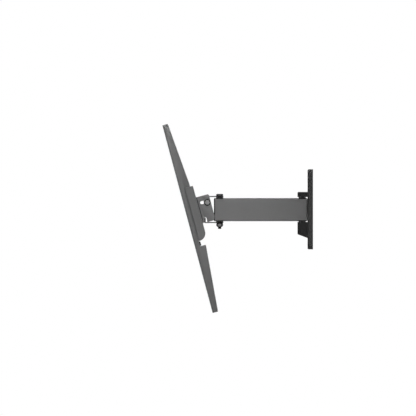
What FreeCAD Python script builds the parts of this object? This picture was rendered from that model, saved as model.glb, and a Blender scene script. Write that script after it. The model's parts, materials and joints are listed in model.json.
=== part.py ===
import FreeCAD, Part
import math
import os

# Single-arm full motion wall mount for a television, in millimetres.
# Frame: +Z up, the wall is the plane y = 0 and the mount reaches out towards -Y,
# with the origin at the middle of the wall plate's back face.
# Rest pose: arm straight out, screen rails tilted forward by TILT_DEG.

Vector = FreeCAD.Vector

# ---- driving dimensions ----------------------------------------------------------------

# wall plate and its moulded cover
PLATE_WIDTH = 100.0
PLATE_HEIGHT = 166.0
PLATE_THICKNESS = 3.0
PLATE_CORNER = 5.0
COVER_WIDTH = 110.0
COVER_HEIGHT = 176.4
COVER_DEPTH = 11.4
COVER_WALL = 2.0
COVER_CORNER = 8.0
COVER_EDGE = 2.6
COVER_RIB_HALF_LENGTH = 6.0
COVER_RIB_X = 25.0
COVER_RIB_Z = 50.0
COVER_RIB_SETBACK = 0.4
WALL_HOLE_RADIUS = 4.5
STUD_HOLE_SPACING = 144.0
SIDE_HOLE_SPACING_X = 76.0
SIDE_HOLE_SPACING_Z = 120.0

# arm and the two vertical pivots
WALL_PIVOT_Y = -23.5
HEAD_PIVOT_Y = -205.3
ARM_TOP = 24.8
ARM_BOTTOM = -26.2
ARM_HALF_WIDTH = 10.5
ARM_HEAD_END_Y = -217.8
ARM_WALL_END_Y = -11.7
ARM_CORNER = 3.0
ARM_WALL = 2.2
ARM_EDGE = 2.6
SLEEVE_RADIUS = 8.0
BUSHING_RADIUS = 6.0
BUSHING_BORE_RADIUS = 4.06
BUSHING_LENGTH = 14.0
FLANGE_RADIUS = 8.0
UPPER_FLANGE_THICKNESS = 2.1
LOWER_FLANGE_THICKNESS = 1.4
SIDE_PLAY = 0.1

# M8 hardware of the two pivots and M6 hardware of the tilt lock
M8 = {"shank": 4.0, "hole": 4.25, "flats": 13.0, "head": 4.4, "nut": 5.4, "collar": 5.9, "washer": 7.5}
M6 = {"shank": 3.0, "hole": 3.2, "flats": 10.0, "head": 4.0, "nut": 4.6, "collar": 4.4, "washer": 7.0}
NUT_COLLAR_HEIGHT = 1.8
WASHER_THICKNESS = 1.4
HEX_CHAMFER = 0.9
HEX_FACE_RATIO = 0.97
WALL_PIVOT_BOLT_LENGTH = 73.4
HEAD_PIVOT_BOLT_LENGTH = 72.8
LOCK_BOLT_OVERHANG = 8.4

# ears of the wall bracket and their covers
EAR_THICKNESS = 3.0
EAR_BEND = 3.8
EAR_NOSE_RADIUS = 8.3
EAR_BASE_HALF_WIDTH = 14.0
EAR_COVER_NOSE_RADIUS = 10.3
EAR_COVER_BASE_HALF_WIDTH = 16.0
EAR_COVER_WALL = 1.8
UPPER_COVER_TOP = 38.3
LOWER_COVER_FRONT_Z = -55.0
LOWER_COVER_BACK_Z = -63.4
EAR_COVER_EDGE = 2.2
COVER_OPENING_HALF_WIDTH = 15.5
COVER_OPENING_HALF_HEIGHT = 34.0

# swivel bracket around the head end of the arm
HEAD_SHEET = 2.6
BRACKET_WEB_FRONT_Y = -240.4
BRACKET_HALF_WIDTH = 23.0
BRACKET_SHOULDER_Y = -217.8
BRACKET_SHOULDER_RADIUS = 4.4
BRACKET_NECK_HALF_WIDTH = 12.0
BRACKET_NOSE_RADIUS = 7.3
BRACKET_BEND = 3.2
NOSE_BAND = 0.9
NOSE_BAND_START_Y = -213.4
LOCK_EAR_RADIUS = 7.8
LOCK_BOLT_Y = -232.5
LOCK_BOLT_Z = 15.2

# tilt axis (along X), hook tabs and yoke
TILT_DEG = 15.0
TILT_Y = -237.6
TILT_Z = -16.9
TAB_TOP_Z = -15.6
TAB_END_X = 29.0
FRICTION_WASHER = 1.4
CHEEK_TOP = 46.9
CHEEK_BOTTOM = -12.2
CHEEK_BACK = 21.0
CHEEK_CORNER = 3.8
NOTCH_CLEARANCE = 0.4
NOTCH_FRONT_CLEARANCE = 0.2
NOTCH_BACK_CLEARANCE = 0.6
NOTCH_SHELF = -1.8
NOTCH_PAD_BACK = 2.4
HINGE_PAD_THICKNESS = 1.8
HINGE_PAD_TOP_Z = -19.0
HINGE_PAD_SIDE_GAP = 0.4
TAB_ROUNDING = 1.25
SLOT_HALF_WIDTH = 3.4
SLOT_EXTRA_LOW_DEG = 1.0
SLOT_EXTRA_HIGH_DEG = 7.0
YOKE_BASE_BOTTOM = -4.0
RIVET_RADIUS = 3.0
RIVET_HEAD_RADIUS = 5.0
RIVET_YOKE_HEAD_HEIGHT = 1.2
RIVET_BAR_HEAD_HEIGHT = 1.8
RIVET_X = 14.0
RIVET_HEIGHTS = (8.0, 36.0)

# crossbar, in the tilting frame: n is towards the wall and z is up the rails
BAR_SHEET = 2.2
BAR_BACK = -8.2
BAR_DEPTH = 18.2
BAR_TOP = 73.0
BAR_BOTTOM = -47.3
BAR_LOWER_CORNER = 16.5
BAR_LENGTH = 440.0
END_CAP_THICKNESS = 3.0
END_CAP_EDGE = 1.9
TROUGH_DEPTH = 12.0
BAR_SLOT_INNER_X = 45.0
BAR_SLOT_OUTER_X = 170.0
BAR_SLOT_HALF_HEIGHT = 5.0
BAR_SLOT_HEIGHTS = (38.0, -8.0)

# screen rails, in the tilting frame
RAIL_X = 200.0
RAIL_SHEET = 2.2
RAIL_HALF_WIDTH = 15.0
RAIL_FRONT = -38.2
RAIL_TOP = 218.2
RAIL_BOTTOM = -207.5
RAIL_END_BACK = -26.1
RAIL_PEAK_BACK = -14.6
RAIL_UPPER_PEAK = 80.7
RAIL_LOWER_PEAK = -64.5
NOTCH_LOWER_EDGE = -60.0
RAIL_BEND = 3.0
RAIL_PLAY = 0.4
HOOK_TIP_CLEARANCE = 2.0
SCREEN_HOLE_RADIUS = 4.3
SCREEN_SPACINGS = (400.0, 300.0, 200.0, 100.0)
RAIL_SLOT_CENTRES = (175.0, 125.0, 75.0)
RAIL_SLOT_LENGTH = 30.0
RAIL_SLOT_HALF_WIDTH = 3.3
LOCK_BLOCK_HALF_WIDTH = 9.0
LOCK_BLOCK_BACK = -24.2
LOCK_BLOCK_GAP = 1.8
LOCK_BLOCK_CORNER = 1.5
LOCK_SCREW_RADIUS = 2.0
LOCK_SCREW_HEAD_RADIUS = 4.0
LOCK_SCREW_HEAD_DEPTH = 2.3
LOCK_SCREW_TIP_DEPTH = 0.6

# half length of the cutters, which reach well beyond the head and the wall bracket
REACH = 60.0

# ---- sizes that follow from the driving ones ------------------------------------------

UPPER_EAR_Z = ARM_TOP + UPPER_FLANGE_THICKNESS + SIDE_PLAY
LOWER_EAR_Z = ARM_BOTTOM - LOWER_FLANGE_THICKNESS - SIDE_PLAY
CHEEK_INNER_X = BRACKET_HALF_WIDTH + FRICTION_WASHER + SIDE_PLAY
CHEEK_OUTER_X = CHEEK_INNER_X + HEAD_SHEET
BAR_FRONT = BAR_BACK - BAR_DEPTH
RAIL_CENTRE = (RAIL_TOP + RAIL_BOTTOM) / 2
LOCK_BOLT_REACH = math.hypot(LOCK_BOLT_Y - TILT_Y, LOCK_BOLT_Z - TILT_Z)
LOCK_BOLT_DEG = math.degrees(math.atan2(LOCK_BOLT_Y - TILT_Y, LOCK_BOLT_Z - TILT_Z))


# ---- general shapes --------------------------------------------------------------------

def box(x_range, y_range, z_range):
    corner = Vector(min(x_range), min(y_range), min(z_range))
    sizes = [max(r) - min(r) for r in (x_range, y_range, z_range)]
    return Part.makeBox(*sizes, corner)


def rod(radius, start, end):
    start = Vector(*start)
    along = Vector(*end) - start
    return Part.makeCylinder(radius, along.Length, start, along)


def ring(outer_radius, inner_radius, start, end):
    return rod(outer_radius, start, end).cut(rod(inner_radius, start, end))


def prism(points, direction):
    """Solid swept along direction from a closed outline of straight edges."""
    corners = [Vector(*point) for point in points]
    outline = Part.makePolygon(corners + corners[:1])
    return Part.Face(outline).extrude(Vector(*direction))


def side_plate(outline, x_range):
    """Plate standing in a plane across X, from (n, z) outline points."""
    start = min(x_range)
    points = [(start, n, z) for n, z in outline]
    return prism(points, (max(x_range) - start, 0, 0))


def round_edges(shape, radius, keep):
    return shape.makeFillet(radius, [edge for edge in shape.Edges if keep(edge)])


def runs_along(edge, axis):
    """True for a straight edge parallel to one of the axes x, y or z."""
    if edge.Curve.TypeId != "Part::GeomLine":
        return False
    direction = edge.tangentAt(edge.FirstParameter)
    return abs(getattr(direction, axis)) > 0.999


def lies_at(edge, axis, value):
    """True when the whole edge has the same coordinate on one axis."""
    bounds = edge.BoundBox
    low = getattr(bounds, axis + "Min")
    high = getattr(bounds, axis + "Max")
    return abs(low - value) < 0.01 and abs(high - value) < 0.01


def nose_outline(nose_radius, nose_y, base_half_width, base_y, z):
    """Flat shape at height z: a round nose joined by tangents to a straight base."""
    reach = base_y - nose_y
    side = math.copysign(1.0, reach)
    distance = math.hypot(base_half_width, reach)
    bearing = math.atan2(abs(reach), base_half_width)
    tangent = bearing - math.acos(nose_radius / distance)
    touch_x = nose_radius * math.cos(tangent)
    touch_y = nose_y + side * nose_radius * math.sin(tangent)
    nose_tip = Vector(0, nose_y - side * nose_radius, z)
    base = [Vector(-base_half_width, base_y, z), Vector(base_half_width, base_y, z)]
    touch = [Vector(-touch_x, touch_y, z), Vector(touch_x, touch_y, z)]
    edges = [
        Part.LineSegment(base[0], base[1]).toShape(),
        Part.LineSegment(base[1], touch[1]).toShape(),
        Part.Arc(touch[1], nose_tip, touch[0]).toShape(),
        Part.LineSegment(touch[0], base[0]).toShape(),
    ]
    return Part.Face(Part.Wire(edges))


def nose_plate(nose_radius, nose_y, base_half_width, base_y, z_range):
    outline = nose_outline(nose_radius, nose_y, base_half_width, base_y, min(z_range))
    return outline.extrude(Vector(0, 0, max(z_range) - min(z_range)))


def c_channel(x_half, y_range, z_range, sheet, bend, open_side):
    """Bent sheet with its web across Y and two flanges; open_side is +1 or -1 along Y."""
    outer = box((-x_half, x_half), y_range, z_range)
    inner_y = (min(y_range) + sheet, max(y_range) + bend)
    if open_side < 0:
        inner_y = (min(y_range) - bend, max(y_range) - sheet)
    inner = box((-x_half, x_half), inner_y, (min(z_range) + sheet, max(z_range) - sheet))
    web_y = min(y_range) if open_side > 0 else max(y_range)
    inner_web_y = min(inner_y) if open_side > 0 else max(inner_y)
    outer = round_edges(outer, bend, lambda e: runs_along(e, "x") and lies_at(e, "Y", web_y))
    inner = round_edges(inner, bend - sheet,
                        lambda e: runs_along(e, "x") and lies_at(e, "Y", inner_web_y))
    return outer.cut(inner)


def tilted(shape):
    """Carries a shape from the tilting frame, at the tilt axis, to its place at rest."""
    turn = FreeCAD.Rotation(Vector(1, 0, 0), TILT_DEG)
    moved = shape.copy()
    moved.Placement = FreeCAD.Placement(Vector(0, TILT_Y, TILT_Z), turn).multiply(moved.Placement)
    return moved


# ---- fasteners -------------------------------------------------------------------------

def hexagon(start, end, across_flats, chamfer_start, chamfer_end):
    """Hexagonal prism from start to end, with its corners turned off at the chosen ends."""
    start = Vector(*start)
    along = Vector(*end) - start
    height = along.Length
    corner_radius = across_flats / math.sqrt(3)
    corners = []
    for index in range(7):
        angle = math.radians(60 * index + 30)
        corners.append(Vector(corner_radius * math.cos(angle), corner_radius * math.sin(angle), 0))
    solid = Part.Face(Part.makePolygon(corners)).extrude(Vector(0, 0, height))
    face_radius = across_flats / 2 * HEX_FACE_RATIO
    turned_radius = face_radius + HEX_CHAMFER * 2
    if chamfer_end:
        cap = Part.makeCone(turned_radius, face_radius, HEX_CHAMFER, Vector(0, 0, height - HEX_CHAMFER))
        body = Part.makeCylinder(turned_radius, height - HEX_CHAMFER)
        solid = solid.common(body.fuse(cap))
    if chamfer_start:
        cap = Part.makeCone(face_radius, turned_radius, HEX_CHAMFER)
        body = Part.makeCylinder(turned_radius, height - HEX_CHAMFER, Vector(0, 0, HEX_CHAMFER))
        solid = solid.common(body.fuse(cap))
    solid.Placement = FreeCAD.Placement(start, FreeCAD.Rotation(Vector(0, 0, 1), along))
    return solid


def hex_bolt(size, under_head, head_direction, shank_length):
    """Bolt: head on the head_direction side of under_head, shank the other way."""
    under_head = Vector(*under_head)
    upward = Vector(*head_direction)
    tip = under_head - upward * shank_length
    chamfer_start = tip + upward * HEX_CHAMFER
    shank = rod(size["shank"], chamfer_start, under_head)
    point = Part.makeCone(size["shank"] - HEX_CHAMFER, size["shank"], HEX_CHAMFER, tip, upward)
    head = hexagon(under_head, under_head + upward * size["head"], size["flats"], False, True)
    return shank.fuse(point).fuse(head).removeSplitter()


def lock_nut(size, seat, direction):
    """Lock nut standing off its seat along direction, with a round nylon collar."""
    seat = Vector(*seat)
    outward = Vector(*direction)
    top = seat + outward * size["nut"]
    collar_top = top + outward * NUT_COLLAR_HEIGHT
    nut = hexagon(seat, top, size["flats"], True, True).fuse(rod(size["collar"], top, collar_top))
    return nut.cut(rod(size["shank"], seat, collar_top)).removeSplitter()


def washer(size, seat, direction, thickness=WASHER_THICKNESS):
    seat = Vector(*seat)
    return ring(size["washer"], size["hole"], seat, seat + Vector(*direction) * thickness)


# ---- wall bracket ----------------------------------------------------------------------

def wall_holes():
    """Centres of the plate's holes, as (x, z)."""
    centres = [(0.0, side * STUD_HOLE_SPACING / 2) for side in (-1, 1)]
    for side_x in (-1, 1):
        for side_z in (-1, 1):
            centres.append((side_x * SIDE_HOLE_SPACING_X / 2, side_z * SIDE_HOLE_SPACING_Z / 2))
    return centres


def wall_plate():
    plate = box((-PLATE_WIDTH / 2, PLATE_WIDTH / 2), (-PLATE_THICKNESS, 0),
                (-PLATE_HEIGHT / 2, PLATE_HEIGHT / 2))
    plate = round_edges(plate, PLATE_CORNER, lambda e: runs_along(e, "y"))
    for x, z in wall_holes():
        plate = plate.cut(rod(WALL_HOLE_RADIUS, (x, -PLATE_THICKNESS, z), (x, 0, z)))
    return plate


def cover_shell(inset, depth, edge):
    """Rounded block of the cover's outline, drawn in by inset on all sides."""
    half_x = COVER_WIDTH / 2 - inset
    half_z = COVER_HEIGHT / 2 - inset
    shell = box((-half_x, half_x), (-depth, 0), (-half_z, half_z))
    shell = round_edges(shell, COVER_CORNER - inset, lambda e: runs_along(e, "y"))
    return round_edges(shell, edge, lambda e: lies_at(e, "Y", -depth))


def along_rib(middle):
    return (middle - COVER_RIB_HALF_LENGTH, middle + COVER_RIB_HALF_LENGTH)


def wall_plate_cover():
    outer = cover_shell(0, COVER_DEPTH, COVER_EDGE)
    inner = cover_shell(COVER_WALL, COVER_DEPTH - COVER_WALL, COVER_EDGE - COVER_WALL)
    opening = box((-COVER_OPENING_HALF_WIDTH, COVER_OPENING_HALF_WIDTH), (-COVER_DEPTH, 0),
                  (-COVER_OPENING_HALF_HEIGHT, COVER_OPENING_HALF_HEIGHT))
    cover = outer.cut(inner).cut(opening)
    # ribs inside the rim grip the edges of the steel plate
    rib_y = (-PLATE_THICKNESS, -COVER_RIB_SETBACK)
    for side in (-1, 1):
        rib_x = (side * PLATE_WIDTH / 2, side * (COVER_WIDTH - COVER_WALL) / 2)
        for middle in (-COVER_RIB_Z, COVER_RIB_Z):
            cover = cover.fuse(box(rib_x, rib_y, along_rib(middle)))
        rib_z = (side * PLATE_HEIGHT / 2, side * (COVER_HEIGHT - COVER_WALL) / 2)
        for middle in (-COVER_RIB_X, COVER_RIB_X):
            cover = cover.fuse(box(along_rib(middle), rib_y, rib_z))
    return cover.removeSplitter()


def wall_pivot_bracket():
    channel = c_channel(EAR_BASE_HALF_WIDTH, (WALL_PIVOT_Y - EAR_NOSE_RADIUS, -PLATE_THICKNESS),
                        (LOWER_EAR_Z - EAR_THICKNESS, UPPER_EAR_Z + EAR_THICKNESS),
                        EAR_THICKNESS, EAR_BEND, -1)
    plan = nose_plate(EAR_NOSE_RADIUS, WALL_PIVOT_Y, EAR_BASE_HALF_WIDTH, -COVER_DEPTH, (-REACH, REACH))
    plan = plan.fuse(box((-EAR_BASE_HALF_WIDTH, EAR_BASE_HALF_WIDTH), (-COVER_DEPTH, 0), (-REACH, REACH)))
    bracket = channel.common(plan)
    bore = rod(M8["hole"], (0, WALL_PIVOT_Y, -REACH), (0, WALL_PIVOT_Y, REACH))
    return bracket.cut(bore).removeSplitter()


def ear_block(wall, z_range):
    return nose_plate(EAR_COVER_NOSE_RADIUS - wall, WALL_PIVOT_Y, EAR_COVER_BASE_HALF_WIDTH - wall,
                      -COVER_DEPTH, z_range)


def upper_ear_cover():
    outer = ear_block(0, (UPPER_EAR_Z, UPPER_COVER_TOP))
    outer = round_edges(outer, EAR_COVER_EDGE,
                        lambda e: lies_at(e, "Z", UPPER_COVER_TOP) and not lies_at(e, "Y", -COVER_DEPTH))
    return outer.cut(ear_block(EAR_COVER_WALL, (UPPER_EAR_Z, UPPER_COVER_TOP - EAR_COVER_WALL)))


def slanted_underside(rise):
    """Everything below the lower cover's slanted floor, raised by rise."""
    front_y = WALL_PIVOT_Y - EAR_COVER_NOSE_RADIUS
    slope = (LOWER_COVER_BACK_Z - LOWER_COVER_FRONT_Z) / (-COVER_DEPTH - front_y)
    margin = 10.0
    bottom = LOWER_COVER_BACK_Z - REACH
    points = [(front_y - margin, LOWER_COVER_FRONT_Z + rise - slope * margin),
              (margin - COVER_DEPTH, LOWER_COVER_BACK_Z + rise + slope * margin),
              (margin - COVER_DEPTH, bottom), (front_y - margin, bottom)]
    return side_plate(points, (-REACH, REACH))


def lower_ear_cover():
    z_range = (LOWER_COVER_BACK_Z - EAR_COVER_EDGE, LOWER_EAR_Z)
    outer = ear_block(0, z_range).cut(slanted_underside(0))
    floor_edges = [e for e in outer.Edges
                   if e.BoundBox.ZMax < LOWER_COVER_FRONT_Z + 0.01 and not lies_at(e, "Y", -COVER_DEPTH)]
    outer = outer.makeFillet(EAR_COVER_EDGE, floor_edges)
    inner = ear_block(EAR_COVER_WALL, z_range).cut(slanted_underside(EAR_COVER_WALL))
    return outer.cut(inner)


def wall_pivot_fasteners():
    bolt = hex_bolt(M8, (0, WALL_PIVOT_Y, UPPER_EAR_Z + EAR_THICKNESS), (0, 0, 1),
                    WALL_PIVOT_BOLT_LENGTH)
    washer_top = (0, WALL_PIVOT_Y, LOWER_EAR_Z - EAR_THICKNESS)
    nut_top = (0, WALL_PIVOT_Y, LOWER_EAR_Z - EAR_THICKNESS - WASHER_THICKNESS)
    return bolt, lock_nut(M8, nut_top, (0, 0, -1)), washer(M8, washer_top, (0, 0, -1))


# ---- arm -------------------------------------------------------------------------------

def arm_block(inset):
    """Block of the arm's outline, drawn in by inset, with rounded upright corners."""
    half_width = ARM_HALF_WIDTH - inset
    block = box((-half_width, half_width), (ARM_HEAD_END_Y + inset, ARM_WALL_END_Y - inset),
                (ARM_BOTTOM + inset, ARM_TOP - inset))
    return round_edges(block, ARM_CORNER - inset, lambda e: runs_along(e, "z"))


def arm_tube():
    outer = round_edges(arm_block(0), ARM_EDGE,
                        lambda e: lies_at(e, "Z", ARM_TOP) or lies_at(e, "Z", ARM_BOTTOM))
    tube = outer.cut(arm_block(ARM_WALL))
    for pivot_y in (WALL_PIVOT_Y, HEAD_PIVOT_Y):
        tube = tube.cut(rod(SLEEVE_RADIUS, (0, pivot_y, ARM_BOTTOM), (0, pivot_y, ARM_TOP)))
    return tube


def pivot_sleeve(pivot_y):
    return ring(SLEEVE_RADIUS, BUSHING_RADIUS, (0, pivot_y, ARM_BOTTOM), (0, pivot_y, ARM_TOP))


def pivot_bushings(pivot_y):
    """Flanged bushes pressed into the top and the bottom of one sleeve."""
    solids = []
    for face_z, outward, flange in ((ARM_TOP, 1, UPPER_FLANGE_THICKNESS),
                                    (ARM_BOTTOM, -1, LOWER_FLANGE_THICKNESS)):
        inner_end = (0, pivot_y, face_z - outward * BUSHING_LENGTH)
        face = (0, pivot_y, face_z)
        flange_end = (0, pivot_y, face_z + outward * flange)
        bush = rod(BUSHING_RADIUS, inner_end, face).fuse(rod(FLANGE_RADIUS, face, flange_end))
        solids.append(bush.cut(rod(BUSHING_BORE_RADIUS, inner_end, flange_end)).removeSplitter())
    return Part.makeCompound(solids)


# ---- swivelling head -------------------------------------------------------------------

def bracket_plan(margin, z_range):
    """Plan outline of the bracket's flanges, grown by margin: neck and round nose."""
    return nose_plate(BRACKET_NOSE_RADIUS + margin, HEAD_PIVOT_Y, BRACKET_NECK_HALF_WIDTH + margin,
                      BRACKET_SHOULDER_Y, z_range)


def swivel_bracket():
    z_range = (LOWER_EAR_Z - HEAD_SHEET, UPPER_EAR_Z + HEAD_SHEET)
    nose_end = HEAD_PIVOT_Y + BRACKET_NOSE_RADIUS
    channel = c_channel(BRACKET_HALF_WIDTH, (BRACKET_WEB_FRONT_Y, nose_end), z_range,
                        HEAD_SHEET, BRACKET_BEND, 1)
    shoulders = box((-BRACKET_HALF_WIDTH, BRACKET_HALF_WIDTH),
                    (BRACKET_WEB_FRONT_Y, BRACKET_SHOULDER_Y), z_range)
    shoulders = round_edges(shoulders, BRACKET_SHOULDER_RADIUS,
                            lambda e: runs_along(e, "z") and lies_at(e, "Y", BRACKET_SHOULDER_Y))
    bracket = channel.common(shoulders.fuse(bracket_plan(0, z_range)))
    web = (BRACKET_WEB_FRONT_Y, BRACKET_WEB_FRONT_Y + HEAD_SHEET)
    # a hook tab on each side of the web
    tab = box((-TAB_END_X, TAB_END_X), web, (LOWER_EAR_Z, TAB_TOP_Z))
    tab = round_edges(tab, TAB_ROUNDING,
                      lambda e: runs_along(e, "x") and lies_at(e, "Z", TAB_TOP_Z))
    bracket = bracket.fuse(tab)
    for side in (-1, 1):
        ear_x = (side * (BRACKET_HALF_WIDTH - HEAD_SHEET), side * BRACKET_HALF_WIDTH)
        ear = box(ear_x, (BRACKET_WEB_FRONT_Y, LOCK_BOLT_Y),
                  (LOCK_BOLT_Z - LOCK_EAR_RADIUS, LOCK_BOLT_Z + LOCK_EAR_RADIUS))
        end = rod(LOCK_EAR_RADIUS, (ear_x[0], LOCK_BOLT_Y, LOCK_BOLT_Z),
                  (ear_x[1], LOCK_BOLT_Y, LOCK_BOLT_Z))
        bracket = bracket.fuse(ear).fuse(end)
    pivot_bore = rod(M8["hole"], (0, HEAD_PIVOT_Y, -REACH), (0, HEAD_PIVOT_Y, REACH))
    lock_bore = rod(M6["hole"], (-REACH, LOCK_BOLT_Y, LOCK_BOLT_Z), (REACH, LOCK_BOLT_Y, LOCK_BOLT_Z))
    return bracket.cut(pivot_bore).cut(lock_bore).removeSplitter()


def nose_bands():
    """Nylon bands round the noses of the bracket's two flanges."""
    solids = []
    start_and_end = (NOSE_BAND_START_Y, HEAD_PIVOT_Y + BRACKET_NOSE_RADIUS + NOSE_BAND)
    for z_range in ((UPPER_EAR_Z, UPPER_EAR_Z + HEAD_SHEET), (LOWER_EAR_Z - HEAD_SHEET, LOWER_EAR_Z)):
        band = bracket_plan(NOSE_BAND, z_range).cut(bracket_plan(0, z_range))
        solids.append(band.common(box((-REACH, REACH), start_and_end, z_range)))
    return Part.makeCompound(solids)


def hinge_pads():
    """Nylon pads on the back of the hook tabs, which the yoke's notches bear on."""
    web_back = BRACKET_WEB_FRONT_Y + HEAD_SHEET
    solids = []
    for side in (-1, 1):
        x_range = (side * CHEEK_INNER_X, side * (TAB_END_X - HINGE_PAD_SIDE_GAP))
        solids.append(box(x_range, (web_back, web_back + HINGE_PAD_THICKNESS),
                          (LOWER_EAR_Z, HINGE_PAD_TOP_Z)))
    return Part.makeCompound(solids)


def head_pivot_fasteners():
    bolt = hex_bolt(M8, (0, HEAD_PIVOT_Y, UPPER_EAR_Z + HEAD_SHEET), (0, 0, 1),
                    HEAD_PIVOT_BOLT_LENGTH)
    washer_top = (0, HEAD_PIVOT_Y, LOWER_EAR_Z - HEAD_SHEET)
    nut_top = (0, HEAD_PIVOT_Y, LOWER_EAR_Z - HEAD_SHEET - WASHER_THICKNESS)
    return bolt, lock_nut(M8, nut_top, (0, 0, -1)), washer(M8, washer_top, (0, 0, -1))


def tilt_lock_fasteners():
    """Bolt through both cheeks and both ears, head on the +X side."""
    outer_face = CHEEK_OUTER_X + SIDE_PLAY
    washers = []
    friction = []
    for side in (-1, 1):
        washers.append(washer(M6, (side * outer_face, LOCK_BOLT_Y, LOCK_BOLT_Z), (side, 0, 0)))
        friction.append(washer(M6, (side * BRACKET_HALF_WIDTH, LOCK_BOLT_Y, LOCK_BOLT_Z),
                               (side, 0, 0), FRICTION_WASHER))
    seat = outer_face + WASHER_THICKNESS
    bolt = hex_bolt(M6, (seat, LOCK_BOLT_Y, LOCK_BOLT_Z), (1, 0, 0), 2 * seat + LOCK_BOLT_OVERHANG)
    nut = lock_nut(M6, (-seat, LOCK_BOLT_Y, LOCK_BOLT_Z), (-1, 0, 0))
    return bolt, nut, Part.makeCompound(washers), Part.makeCompound(friction)


# ---- tilting centre plate --------------------------------------------------------------

def tilt_slot():
    """Arc slot about the tilt axis, in the tilting frame, that the lock bolt runs in."""
    rest_deg = LOCK_BOLT_DEG + TILT_DEG
    high = rest_deg + SLOT_EXTRA_LOW_DEG
    low = LOCK_BOLT_DEG - SLOT_EXTRA_HIGH_DEG
    ring_part = ring(LOCK_BOLT_REACH + SLOT_HALF_WIDTH, LOCK_BOLT_REACH - SLOT_HALF_WIDTH,
                     (-REACH, 0, 0), (REACH, 0, 0))

    def ray(angle_deg, length):
        angle = math.radians(angle_deg)
        return (length * math.sin(angle), length * math.cos(angle))

    sector = side_plate([(0, 0), ray(low, REACH), ray(high, REACH)], (-REACH, REACH))
    slot = ring_part.common(sector)
    for end_deg in (low, high):
        n, z = ray(end_deg, LOCK_BOLT_REACH)
        slot = slot.fuse(rod(SLOT_HALF_WIDTH, (-REACH, n, z), (REACH, n, z)))
    return slot.removeSplitter()


def v_notch():
    """Notch, open at the bottom, that the web's hook tab sits in over the whole tilt."""
    sine = math.sin(math.radians(TILT_DEG))
    cosine = math.cos(math.radians(TILT_DEG))
    web_front = BRACKET_WEB_FRONT_Y - TILT_Y
    back = web_front + HEAD_SHEET + NOTCH_BACK_CLEARANCE
    roof = TAB_TOP_Z - TILT_Z - web_front * sine + NOTCH_CLEARANCE
    bottom = CHEEK_BOTTOM - NOTCH_CLEARANCE
    # the front edge runs down along the web, which leans by TILT_DEG at rest
    front = web_front - NOTCH_FRONT_CLEARANCE
    knee = ((front + NOTCH_FRONT_CLEARANCE) * cosine - web_front) / sine - NOTCH_CLEARANCE
    front_bottom = (web_front + bottom * sine) / cosine - NOTCH_FRONT_CLEARANCE
    outline = [(NOTCH_PAD_BACK, bottom), (NOTCH_PAD_BACK, NOTCH_SHELF), (back, NOTCH_SHELF),
               (back, roof), (front, roof), (front, knee), (front_bottom, bottom)]
    return side_plate(outline, (-REACH, REACH))


def tilt_yoke():
    """U bracket: a riveted base plate and two cheeks that straddle the swivel bracket."""
    base_back = BAR_BACK + HEAD_SHEET
    yoke = box((-CHEEK_OUTER_X, CHEEK_OUTER_X), (BAR_BACK, base_back), (YOKE_BASE_BOTTOM, CHEEK_TOP))
    outline = [(BAR_BACK, CHEEK_BOTTOM), (CHEEK_BACK, CHEEK_BOTTOM),
               (CHEEK_BACK, CHEEK_TOP), (BAR_BACK, CHEEK_TOP)]
    swing = rod(CHEEK_BACK, (-REACH, 0, 0), (REACH, 0, 0))
    upper = box((-REACH, REACH), (-REACH, REACH), (0, REACH))
    lower_front = box((-REACH, REACH), (-REACH, 0), (-REACH, 0))
    for side in (-1, 1):
        cheek = side_plate(outline, (side * CHEEK_INNER_X, side * CHEEK_OUTER_X))
        cheek = round_edges(cheek, CHEEK_CORNER,
                            lambda e: lies_at(e, "Y", CHEEK_BACK) and lies_at(e, "Z", CHEEK_TOP))
        cheek = cheek.common(swing.fuse(upper).fuse(lower_front))
        yoke = yoke.fuse(cheek)
    yoke = yoke.removeSplitter()
    yoke = round_edges(yoke, BRACKET_BEND,
                       lambda e: runs_along(e, "z") and lies_at(e, "Y", BAR_BACK)
                       and abs(abs(e.BoundBox.XMin) - CHEEK_OUTER_X) < 0.01)
    yoke = yoke.cut(tilt_slot()).cut(v_notch())
    for x, z in rivet_places():
        yoke = yoke.cut(rod(RIVET_RADIUS, (x, BAR_BACK, z), (x, base_back, z)))
    return yoke


def rivet_places():
    return [(side * RIVET_X, z) for side in (-1, 1) for z in RIVET_HEIGHTS]


def yoke_rivets():
    """Rivets with a low head on the yoke and a formed head inside the bar."""
    solids = []
    for x, z in rivet_places():
        inner = BAR_BACK - BAR_SHEET
        outer = BAR_BACK + HEAD_SHEET
        rivet = rod(RIVET_RADIUS, (x, inner, z), (x, outer, z))
        rivet = rivet.fuse(rod(RIVET_HEAD_RADIUS, (x, outer, z), (x, outer + RIVET_YOKE_HEAD_HEIGHT, z)))
        rivet = rivet.fuse(rod(RIVET_HEAD_RADIUS, (x, inner - RIVET_BAR_HEAD_HEIGHT, z), (x, inner, z)))
        solids.append(rivet.removeSplitter())
    return Part.makeCompound(solids)


def bar_section(x_range, shrink):
    """Solid of the bar's outer outline: flat back, square top, rounded lower edge."""
    start = min(x_range)
    back = BAR_BACK - shrink
    bottom = BAR_BOTTOM + shrink
    radius = BAR_LOWER_CORNER - shrink
    centre_n = back - radius
    centre_z = bottom + radius
    diagonal = radius * math.sqrt(0.5)
    top_front = Vector(start, BAR_FRONT, BAR_TOP)
    top_back = Vector(start, back, BAR_TOP)
    arc_start = Vector(start, back, centre_z)
    arc_middle = Vector(start, centre_n + diagonal, centre_z - diagonal)
    arc_end = Vector(start, centre_n, bottom)
    bottom_front = Vector(start, BAR_FRONT, bottom)
    edges = [
        Part.LineSegment(top_front, top_back).toShape(),
        Part.LineSegment(top_back, arc_start).toShape(),
        Part.Arc(arc_start, arc_middle, arc_end).toShape(),
        Part.LineSegment(arc_end, bottom_front).toShape(),
        Part.LineSegment(bottom_front, top_front).toShape(),
    ]
    face = Part.Face(Part.Wire(edges))
    return face.extrude(Vector(max(x_range) - start, 0, 0))


def bar_x_range():
    half = BAR_LENGTH / 2 - END_CAP_THICKNESS
    return (-half, half)


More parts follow.
